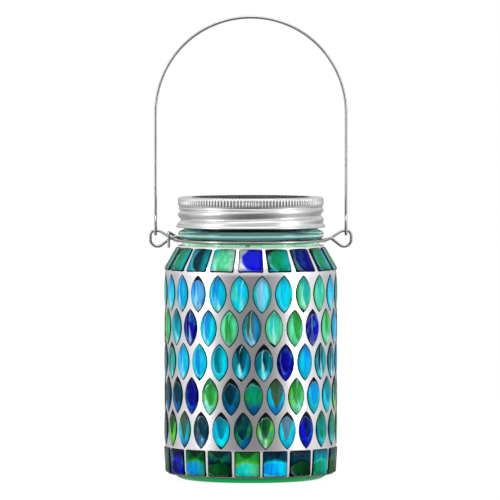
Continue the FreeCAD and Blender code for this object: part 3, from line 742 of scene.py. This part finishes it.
def makeTileGlass():
    # layers of glass in each tile's own colours, mixed by curves over its map
    material, tree, shader = newMaterial("mosaicGlass", **tileGlass["sockets"])
    shapes = ("tileRim", "heartPlace", "heartHalf", "capShape", "turnover")
    given = {}
    for name in glassLayers + shapes:
        given[name] = addNode(tree, "ShaderNodeAttribute", attribute_name=name).outputs
    topGlass, heartGlass, footGlass, driftGlass = (given[name]["Color"] for name in glassLayers)
    rim = given["tileRim"]["Fac"]
    placeX, placeY, pointed = split(given["heartPlace"]["Vector"])
    halfX, halfY, streakBow = split(given["heartHalf"]["Vector"])
    capLevel, capBow, capped = split(given["capShape"]["Vector"])
    turnLow, turnHigh, chipped = split(given["turnover"]["Vector"])
    tile = split(addNode(tree, "ShaderNodeUVMap", uv_map="tileMap").outputs[0])
    ripple = noiseOn(onPiece(tree), tileGlass["ripple"])
    curl = noiseOn(onPiece(tree, tileGlass["curlStretch"]), tileGlass["curl"])
    streaks = noiseOn(onPiece(tree, tileGlass["streakStretch"]), tileGlass["streaks"])
    x = sums("MULTIPLY_ADD", sums("SUBTRACT", ripple, 0.5), tileGlass["swirl"], tile[0])
    y = sums("MULTIPLY_ADD", sums("SUBTRACT", curl, 0.5), tileGlass["swirl"], tile[1])
    wide = sums("DIVIDE", sums("SUBTRACT", x, placeX), halfX)
    tall = sums("DIVIDE", sums("SUBTRACT", y, placeY), halfY)
    wideSquare, tallSquare = product(wide, wide), product(tall, tall)
    # a round heart is an ellipse; a pointed one widens from its tip with the root of the height
    oval = sums("SUBTRACT", sums("ADD", wideSquare, tallSquare), 1.0)
    climb = sums("SQRT", sums("MAXIMUM", sums("MULTIPLY_ADD", tall, 0.5, 0.5), 0.0))
    reach = sums("MULTIPLY_ADD", climb, *tileGlass["pointedReach"])
    drop = sums("SUBTRACT", sums("ABSOLUTE", wide), reach)
    outside = between(pointed, oval, drop)
    inHeart = ramp(outside, 0.0, between(pointed, *tileGlass["heartSoft"]), 1.0, 0.0)
    # the foot's glass takes over in a curve that is lowest at the sides, and another has run in
    slope = sums("MULTIPLY_ADD", sums("ABSOLUTE", x), tileGlass["footSag"], y)
    colour = mixColour(ramp(slope, turnLow, turnHigh, 1.0, 0.0), topGlass, footGlass)
    run = product(ramp(ripple, *tileGlass["driftTurn"]), tileGlass["drift"])
    colour = mixColour(run, colour, driftGlass)
    light = ramp(wide, *tileGlass["lightTurn"])
    light = product(light, between(pointed, *tileGlass["heartLight"]))
    heart = mixColour(light, heartGlass, footGlass)
    run = product(ramp(curl, *tileGlass["heartDriftTurn"]), tileGlass["heartDrift"])
    heart = mixColour(run, heart, driftGlass)
    colour = mixColour(inHeart, colour, heart)
    # fine streaks along the tile, and painted shade towards its edge, for a domed look, and towards its
    # top
    shades = ((streaks, "streakShade"), (rim, "rimShade"), (y, "topShade"))
    shade = product(*(ramp(value, *tileGlass[name]) for value, name in shades))
    colour = shaded(colour, shade)
    # a painted highlight, a pale streak, lies between the middle and the left of the heart and spreads
    # towards the foot
    bow = sums("SQRT", sums("MAXIMUM", sums("SUBTRACT", 1.0, tallSquare), 0.0))
    aside = sums("ABSOLUTE", sums("MULTIPLY_ADD", bow, streakBow, wide))
    width = ramp(tall, *tileGlass["streakWidth"])
    streak = ramp(sums("DIVIDE", aside, width), *tileGlass["streakSoft"])
    breaks = ramp(streaks, *tileGlass["streakBreaks"])
    streak = product(streak, ramp(streakBow, *tileGlass["streakShow"]), breaks)
    # and a painted highlight, a lighter crescent of the foot's glass, along the lower left of a round
    # heart
    line, half = tileGlass["crescentLine"]
    brim = ramp(sums("ABSOLUTE", sums("SUBTRACT", oval, line)), 0.0, half, 1.0, 0.0)
    corner = ramp(sums("ADD", wide, tall), *tileGlass["crescent"])
    whole = sums("SUBTRACT", 1.0, pointed)
    crescent = product(brim, corner, whole, ramp(streaks, *tileGlass["crescentBreaks"]))
    # the crescent and the streak are painted highlights
    for part, pale in ((crescent, "crescentPale"), (streak, "streakPale")):
        paleGlass = mixColour(tileGlass[pale], footGlass, tileGlass["streakTone"])
        colour = mixColour(part, colour, paleGlass)
    # a dark cap over a bowed line, a chipped foot and a dark line of painted shade along the edge
    arch = sums("SUBTRACT", sums("MULTIPLY_ADD", product(x, x), capBow, y), capLevel)
    cap = product(ramp(arch, 0.0, tileGlass["capSoft"]), capped)
    under, half = tileGlass["capLinePlace"]
    lid = ramp(sums("ABSOLUTE", sums("ADD", arch, under)), 0.0, half, 1.0, 0.0)
    line = product(lid, ramp(capped, *tileGlass["fullCap"]), tileGlass["capLine"])
    colour = mixColour(line, colour, tileGlass["streakTone"])
    level = sums("MULTIPLY_ADD", x, tileGlass["chipSlope"], tile[1])
    chip = product(ramp(level, *tileGlass["chip"]), chipped)
    edge = ramp(rim, *tileGlass["edgeLine"])
    dark = sums("MAXIMUM", sums("MAXIMUM", cap, chip), edge)
    colour = mixColour(dark, colour, tileGlass["edgeTone"])
    # the tiles' faint glow in their own colours is painted light, for the lamp inside shining through
    setShader(shader, base=colour, glowTint=colour)
    bumpOn(shader, ripple, *tileGlass["waviness"])
    return material


def makeMosaic():
    # leaves on the wall, each row in the gaps of the last, then the squares above and below them
    draw = np.random.default_rng(mosaic["seatSeed"])
    outline = leafOutline()
    count = mosaic["leafCount"]
    for row, look in enumerate(mosaic["rowKinds"], 1):
        node = f"leaf_tiles_row_{row}"
        low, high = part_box(node)
        turn = (row % 2) * 180 / count + (row - 1) * mosaic["leafDrift"]
        seats = tileSeats(count, turn, mosaic["wallRadius"], (low.z + high.z) / 2, 0, draw)
        layTiles(f"leafRow{row}", node, outline, seats, look, mosaic["leafSeed"] + row)
    for kind, node in (("shoulder", "shoulder_tiles"), ("foot", "base_tiles")):
        row = mosaic[kind]
        tilt = math.radians(row["lean"])
        proud = max(0, mosaic["thickness"] * math.sin(tilt))
        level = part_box(node)[1].z - proud - row["height"] / 2 * math.cos(tilt)
        seats = tileSeats(row["count"], row["turn"], row["radius"], level, row["lean"], draw)
        outline = squareOutline(row["foot"], row["head"], row["height"])
        layTiles(kind + "Row", node, outline, seats, kind, mosaic["squareSeed"] + row["count"])


mosaicGlass = makeTileGlass()
makeMosaic()
print("mosaic laid")


# Screw band: one closed profile carried round the axis, with thread and flutes worked into its radius

band = {
    "radius": 36.4 * mm,          # over the rolls
    "opening": 30.2 * mm,
    "flatTop": 3.0 * mm,          # from the opening outwards
    "sheet": 0.5 * mm,
    "pitch": 5.08 * mm,
    "grooveDepth": 1.4 * mm,
    "grooveSharpness": 1.4,
    "grooveAtFront": 5.0 * mm,    # above the hem
    "threadFrom": 1.3 * mm,
    "threadTo": 9.6 * mm,
    "threadFade": 1.4 * mm,
    "flare": 0.9 * mm,
    "flareHeight": 2.9 * mm,
    "hemCrease": (1.3 * mm, 0.24 * mm, 0.35 * mm),   # its height, depth and half width
    "waistAt": 10.1 * mm,
    "waistDepth": 0.75 * mm,
    "waistHalf": 0.8 * mm,
    "corner": 1.2 * mm,
    "bendSteps": 7,               # in the corner, and in the rolled edge of the opening
    "wallSteps": (                # from the hem up, closer where the hem and the waist bend
        (0.12 * mm, 1.6 * mm, 7),
        (1.9 * mm, 9.6 * mm, 28),
        (9.85 * mm, 11.3 * mm, 7),
        (11.6 * mm, 13.4 * mm, 7),
    ),
    "insideSkip": 3,              # steps of the wall to each one inside
    "flutes": 132,
    "fluteSharpness": 2.7,        # above 1, narrower than the ridges between
    "fluteDepth": 0.42 * mm,
    "fluteFoot": 0.5 * mm,        # over the waist
    "fluteHead": 0.8 * mm,        # under the top
    "fluteFade": 0.7 * mm,
    "stepsPerFlute": 7,
}

tinLook = {
    "tint": (0.65, 0.65, 0.66), "depth": 0.12, "grain": (60.0, 700.0),
    "roughness": (0.28, 0.38), "bump": 0.05, "stretch": (1.0, 1.0, 6.0),
    # recessShade is painted shade: from 1 to this share between these flute depths
    "sockets": {"metallic": 1.0}, "recessShade": (0.25, 0.9, 1.0, 0.48),
}


def plateau(low, high, fade, value):
    # 1 between two heights, passing softly into 0 inside each of them
    return smooth(low, low + fade, value) * (1 - smooth(high - fade, high, value))


def bell(middle, half, value):
    return np.exp(-(((value - middle) / half) ** 2))


def bandGrip(height, angle, top):
    # how deep the flutes are cut: a power of a raised cosine of the angle, between the waist and the top
    foot, head = band["waistAt"] + band["fluteFoot"], top - band["fluteHead"]
    flute = (0.5 - 0.5 * np.cos(band["flutes"] * angle)) ** band["fluteSharpness"]
    return plateau(foot, head, band["fluteFade"], height) * flute


def bandRadius(height, angle, top):
    # the grooves between the rolls are a power of a raised cosine of the height, shifted by one pitch
    # in each turn; the waist and the hem's crease are bell curves, and the hem flares in a soft step
    turn = 2 * np.pi * (height - band["grooveAtFront"]) / band["pitch"] - angle
    groove = (0.5 + 0.5 * np.cos(turn)) ** band["grooveSharpness"]
    rolled = plateau(band["threadFrom"], band["threadTo"], band["threadFade"], height)
    waist = bell(band["waistAt"], band["waistHalf"], height)
    hem = 1 - smooth(0, band["flareHeight"], height)
    place, depth, half = band["hemCrease"]
    cut = rolled * groove * band["grooveDepth"] + waist * band["waistDepth"]
    cut = cut + depth * bell(place, half, height)
    return band["radius"] - cut - bandGrip(height, angle, top) * band["fluteDepth"] + hem * band["flare"]


def makeBand():
    # the profile goes up the wall, over the top, round the opening's edge and back down inside
    low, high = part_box("screw_band")
    top = high.z - low.z
    corner, sheet = band["corner"], band["sheet"]
    wall = np.concatenate([np.linspace(*stretch) for stretch in band["wallSteps"]])
    wall = np.append(wall, top - corner)
    angle = np.linspace(0, 2 * np.pi, band["flutes"] * band["stepsPerFlute"], endpoint=False)[None, :]
    outside = bandRadius(wall[:, None], angle, top)
    turn = np.linspace(0, np.pi / 2, band["bendSteps"])[1:, None]
    bend = outside[-1] - corner * (1 - np.cos(turn))
    curl = np.linspace(np.pi / 2, 3 * np.pi / 2, band["bendSteps"])[:, None]
    roll = band["opening"] + sheet / 2 * (1 + np.cos(curl))
    flat = np.full((1, 1), band["opening"] + band["flatTop"])
    inner = wall[::-band["insideSkip"]]
    inside = bandRadius(inner[:, None], angle, top) - sheet
    hem = bandRadius(np.array([[0.0]]), angle, top) - sheet / 2
    radius = [outside, bend] + [part + 0 * angle for part in (flat, roll, flat)] + [inside, hem]
    height = [wall[:, None], top - corner * (1 - np.sin(turn)), np.full((1, 1), top)]
    height += [top - sheet / 2 * (1 - np.sin(curl)), np.full((1, 1), top - sheet), inner[:, None], [[0.0]]]
    radius, height = np.concatenate(radius), np.concatenate(height)
    points = around(radius, angle, low.z + height)
    piece = addMesh("rolledBand", points, gridFaces(*radius.shape, True, True).tolist())
    # the flutes' depth, which the tinplate's painted shade follows
    recess = np.zeros(radius.shape)
    recess[:len(wall)] = bandGrip(wall[:, None], angle, top)
    addAttribute(piece, "recess", "FLOAT", "value", recess)
    seat(piece, "band", "tinplate", mottled("tinplate", tinLook), "screw_band")


makeBand()
print("screw band rolled")


# Glass: the jar, and the thread that the band screws onto

jarGlass = {
    "sockets": {"roughness": 0.04, "ior": 1.5, "transmission": 1.0, "specular": 0.25, "glow": 0.40},
    "clear": screenColour(190, 230, 222),
    "footTint": screenColour(26, 150, 88),
    "footGlow": screenColour(18, 160, 92),
    "footTop": (4.0 * mm, 7.0 * mm),
    # the foot's glow is painted light, and its fall towards the tiles is painted shade under them
    "footFade": (0.8 * mm, 2.8 * mm, 1.0, 0.3),    # of its glow, towards the tiles
    "stripTint": screenColour(190, 226, 208),
    # the strip's glow is painted light, palest low down
    "stripLow": screenColour(214, 232, 222),
    "stripHigh": screenColour(30, 136, 74),
    "stripRise": (115.0 * mm, 118.2 * mm),      # from the low glow to the high one
    "stripBreaks": (0.3, 0.7, 0.7, 1.0),
    "strip": (108.0 * mm, 112.5 * mm, 118.0 * mm, 119.4 * mm),      # where it begins and ends
    "beadTint": screenColour(60, 120, 121),
    "beadGlow": screenColour(206, 252, 248),
    "bead": (119.8 * mm, 120.6 * mm, 123.4 * mm, 124.2 * mm),
    # the bead's pale line is a painted highlight
    "beadLine": 121.9 * mm,      # of its pale line
    "beadWave": 3.2 * mm,
    "beadShare": (0.1, 1.0),
    # painted shadow: a darker tint under the band's hem, over the bead
    "hemShadowTint": screenColour(58, 98, 100),
    "hemShadow": (123.6 * mm, 124.4 * mm, 125.4 * mm, 126.6 * mm),      # over the bead
    "streaks": 40.0,
    "streakStretch": (1.0, 1.0, 14.0),
    "waves": 60.0,
    "waviness": (0.04, 0.5 * mm),
}

thread = {
    "radius": 33.24 * mm,        # just over the neck's own
    "width": 2.3 * mm,
    "height": 1.05 * mm,
    "turns": 1.3,
    "startAngle": -2.4,          # from the front
    "taper": 0.5,                # radians, at both ends
    "tip": 0.0004,               # square of the share that is left there
    "steps": (12, 160),          # round the ridge and along it
}


def makeJarGlass():
    # clear glass, tinted, with painted glow for the inner lamp's light at the bare foot and under the
    # collar, a painted highlight in the bead around the neck and a painted shadow under the band's hem
    material, tree, shader = newMaterial("jarGlass", **jarGlass["sockets"])
    height = heightOn(tree)
    foot = ramp(height, *jarGlass["footTop"], 1.0, 0.0)
    strip, bead, hemShadow = (zone(height, *jarGlass[name]) for name in ("strip", "bead", "hemShadow"))
    streaks = noiseOn(onPiece(tree, jarGlass["streakStretch"]), jarGlass["streaks"])
    tint = jarGlass["clear"]
    # the last tint is the painted shadow under the hem
    for part, name in ((foot, "footTint"), (strip, "stripTint"), (bead, "beadTint"), (hemShadow, "hemShadowTint")):
        tint = mixColour(part, tint, jarGlass[name])
    rise = ramp(height, *jarGlass["stripRise"])
    stripGlow = mixColour(rise, jarGlass["stripLow"], jarGlass["stripHigh"])
    # the bead's painted highlight is a cosine of the height, which the streaks shift a little
    above = sums("SUBTRACT", height, jarGlass["beadLine"])
    shift = sums("SUBTRACT", streaks, 0.5)
    phase = sums("MULTIPLY_ADD", above, 2 * math.pi / jarGlass["beadWave"], shift)
    wave = ramp(sums("COSINE", phase), *jarGlass["beadShare"])
    # painted glow at the foot, which fades into painted shade under the tiles, and in the strip under the
    # collar
    footLight = product(foot, ramp(height, *jarGlass["footFade"]))
    glow = mixColour(footLight, (0.0, 0.0, 0.0), jarGlass["footGlow"])
    breaks = ramp(streaks, *jarGlass["stripBreaks"])
    glow = mixColour(product(strip, breaks), glow, stripGlow)
    glow = mixColour(product(bead, wave), glow, jarGlass["beadGlow"])
    setShader(shader, base=tint, glowTint=glow)
    bumpOn(shader, noiseOn(onPiece(tree), jarGlass["waves"]), *jarGlass["waviness"])
    return material


def makeThread(glass):
    # half an ellipse carried up one pitch in each turn, drawn to a point at its ends
    ring, along = thread["steps"]
    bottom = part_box("screw_band")[0].z
    section = np.linspace(-np.pi / 2, np.pi / 2, ring)[:, None]
    angle = thread["startAngle"] + np.linspace(0, 2 * np.pi * thread["turns"], along)[None, :]
    run = np.minimum(angle - angle.min(), angle.max() - angle) / thread["taper"]
    swell = np.sqrt(np.clip(run, thread["tip"], 1))
    middle = bottom + band["grooveAtFront"] + band["pitch"] * (angle / (2 * np.pi) + 0.5) - band["pitch"]
    radius = thread["radius"] + thread["height"] * np.cos(section) * swell
    height = middle + thread["width"] / 2 * np.sin(section) * swell
    points = around(radius, angle + 0 * section, height)
    faces = gridFaces(ring, along, True, False).tolist()
    ends = np.arange(ring) * along
    faces += [ends.tolist(), (ends + along - 1)[::-1].tolist()]
    seat(addMesh("neckThread", points, faces), "jar", "jar_glass", glass)


glassFinish = makeJarGlass()
dress(glassFinish, "glass_jar")
makeThread(glassFinish)
print("jar glass tinted, neck threaded")


# Plain finishes of the other pieces

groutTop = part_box("grout_net")[1].z

plainLooks = {
    "grout": {
        "on": ("grout_net",),
        "tint": (0.82, 0.80, 0.825), "depth": 0.07, "grain": (70.0, 1500.0),
        # footShade is painted shade along the grout's bottom edge, under the foot tiles
        "roughness": (0.20, 0.30), "bump": 0.08, "footShade": (2.9 * mm, 4.0 * mm, 0.15, 1.0),
        "metal": 0.92,
        "metalZone": (14.5 * mm, 17.5 * mm, groutTop - 1.2 * mm, groutTop - 0.3 * mm),
    },
    "steelWire": {
        "on": ("hanger_collar", "bail_handle"),
        "tint": (0.48, 0.48, 0.485), "depth": 0.14, "grain": (160.0, 1800.0),
        "roughness": (0.20, 0.30), "bump": 0.03, "sockets": {"metallic": 1.0},
    },
    "gasketRubber": {
        "on": ("lid_gasket",),
        "tint": (0.70, 0.69, 0.66), "depth": 0.10, "grain": (120.0, 2500.0),
        "roughness": (0.55, 0.7), "bump": 0.15,
    },
    "blackPlastic": {
        "on": ("insert_housing", "insert_base", "switch_case", "switch_knob"),
        "tint": (0.022, 0.022, 0.025), "depth": 0.20, "grain": (150.0, 3000.0),
        "roughness": (0.36, 0.5), "bump": 0.25,
    },
    "zincSteel": {
        "on": ("cover_screws",),
        "tint": (0.58, 0.58, 0.55), "depth": 0.20, "grain": (500.0, 4000.0),
        "roughness": (0.28, 0.42), "bump": 0.10, "sockets": {"metallic": 1.0},
    },
    "nickelStrip": {
        "on": ("battery_contacts",),
        "tint": (0.66, 0.64, 0.58), "depth": 0.15, "grain": (300.0, 3000.0),
        "roughness": (0.22, 0.36), "bump": 0.08, "sockets": {"metallic": 1.0},
    },
    "leadSleeve": {
        "on": ("panel_leads",),
        "tint": (0.42, 0.02, 0.02), "depth": 0.12, "grain": (300.0, 3000.0),
        "roughness": (0.35, 0.45), "bump": 0.06,
    },
}

for finish, look in plainLooks.items():
    dress(mottled(finish, look), *look["on"])
print("wire, grout, plastic and small metal dressed")


# Finishes with a pattern: solar cell, clear plastic, battery, board and lamp

solarCell = {
    "sockets": {"roughness": 0.38, "specular": 0.15},
    "silicon": (0.006, 0.010, 0.030),
    "grain": (0.016, 0.026, 0.075),
    "facets": 260.0,
    "silver": (0.42, 0.42, 0.42),
    "finger": (1.6 * mm, 0.07),      # the step between them, and their share of it
    "bar": (16.0 * mm, 0.05),
}


lineEdge = (0.4, 0.6)    # of a line's width, from its middle: where it begins to fade and is gone


def lines(coordinate, step, share):
    # 1 on thin lines that repeat at each step of a coordinate, 0 between them
    within = sums("PINGPONG", coordinate, step / 2)
    return ramp(within, *(step * share * edge for edge in lineEdge), 1.0, 0.0)


def makeSolarCell():
    # facets of silicon under fine fingers, and a few wider bars across them
    material, tree, shader = newMaterial("solarCell", **solarCell["sockets"])
    axes = split(onPiece(tree))
    fingers = lines(axes[1], *solarCell["finger"])
    bars = lines(sums("ADD", axes[0], solarCell["bar"][0] / 2), *solarCell["bar"])
    facets = addNode(tree, "ShaderNodeTexVoronoi")
    fill(facets, Vector=onPiece(tree), Scale=solarCell["facets"])
    facet = split(facets.outputs["Color"])[0]
    silicon = mixColour(facet, solarCell["silicon"], solarCell["grain"])
    colour = mixColour(sums("MAXIMUM", fingers, bars), silicon, solarCell["silver"])
    setShader(shader, base=colour)
    return material


clearPlastic = {
    "sockets": {"ior": 1.49, "transmission": 1.0, "specular": 0.25},
    "tint": (0.92, 0.95, 0.95),
    "haze": (0.80, 0.86, 0.86),
    "cloud": (120.0, 4.0),           # scale and detail
    "roughness": (0.3, 0.7, 0.03, 0.12),
}


def makeClearPlastic():
    # a faint cloud in the tint and in the roughness
    material, tree, shader = newMaterial("clearPlastic", **clearPlastic["sockets"])
    cloud = noiseOn(onPiece(tree), *clearPlastic["cloud"])
    tint = mixColour(cloud, clearPlastic["tint"], clearPlastic["haze"])
    setShader(shader, base=tint, roughness=ramp(cloud, *clearPlastic["roughness"]))
    return material


battery = {
    "sockets": {"roughness": 0.25, "coat": 0.4},
    "sleeve": (0.02, 0.12, 0.34),
    "stripe": (0.55, 0.56, 0.58),
    "stripeFrom": (0.62, 0.64),      # of the half length, towards the nub
    "scuffs": (400.0, 4.0),          # scale and detail
    "scuffTint": (0.02, 0.04, 0.08),
    "scuffDepth": (0.3, 0.7, 0.85, 1.0),
}


def makeBatterySleeve():
    # a stripe around one end of the sleeve, and scuffs all over
    material, tree, shader = newMaterial("batterySleeve", **battery["sockets"])
    low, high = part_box("battery_cell")
    middle, half = (low.x + high.x) / 2, (high.x - low.x) / 2
    along = sums("DIVIDE", sums("SUBTRACT", split(onPiece(tree))[0], middle), half)
    stripe = ramp(along, *battery["stripeFrom"])
    scuff = ramp(noiseOn(onPiece(tree), *battery["scuffs"]), *battery["scuffDepth"])
    colour = mixColour(stripe, battery["sleeve"], battery["stripe"])
    setShader(shader, base=mixColour(scuff, battery["scuffTint"], colour))
    return material


board = {
    "sockets": {"roughness": 0.32, "coat": 0.3},
    "mask": (0.010, 0.110, 0.035),
    "trace": (0.030, 0.210, 0.070),
    "traceLines": (2.6 * mm, 0.35),      # the step between them, and their share of it
    "patches": 180.0,
    "patchTurn": (0.48, 0.52),
    "relief": (0.3, 0.05 * mm),
}


def makeBoard():
    # traces that run one way in some patches and across in the others
    material, tree, shader = newMaterial("circuitBoard", **board["sockets"])
    axes = split(onPiece(tree))
    patch = ramp(noiseOn(onPiece(tree), board["patches"]), *board["patchTurn"])
    along, across = (lines(axis, *board["traceLines"]) for axis in axes[:2])
    turned = product(across, sums("SUBTRACT", 1.0, patch))
    trace = sums("MAXIMUM", product(along, patch), turned)
    setShader(shader, base=mixColour(trace, board["mask"], board["trace"]))
    bumpOn(shader, trace, *board["relief"])
    return material


lamp = {
    "sockets": {"roughness": 0.15, "glow": 0.5, "coat": 0.5},
    "resin": (0.90, 0.88, 0.78),
    "warm": (1.0, 0.86, 0.55),
    "cloud": 500.0,
}


def makeLampResin():
    # pale resin with a warm cloud, which is brightest where the resin is palest
    material, tree, shader = newMaterial("lampResin", **lamp["sockets"])
    cloud = noiseOn(onPiece(tree), lamp["cloud"])
    tint = mixColour(cloud, lamp["resin"], lamp["warm"])
    setShader(shader, base=tint, glowTint=mixColour(cloud, lamp["warm"], lamp["resin"]))
    return material


dress(makeSolarCell(), "solar_cell")
dress(makeClearPlastic(), "panel_cover", "lens_dome")
dress(makeBatterySleeve(), "battery_cell")
dress(makeBoard(), "circuit_board")
dress(makeLampResin(), "led_lamp")
print("solar cell, lens, battery, board and lamp dressed")
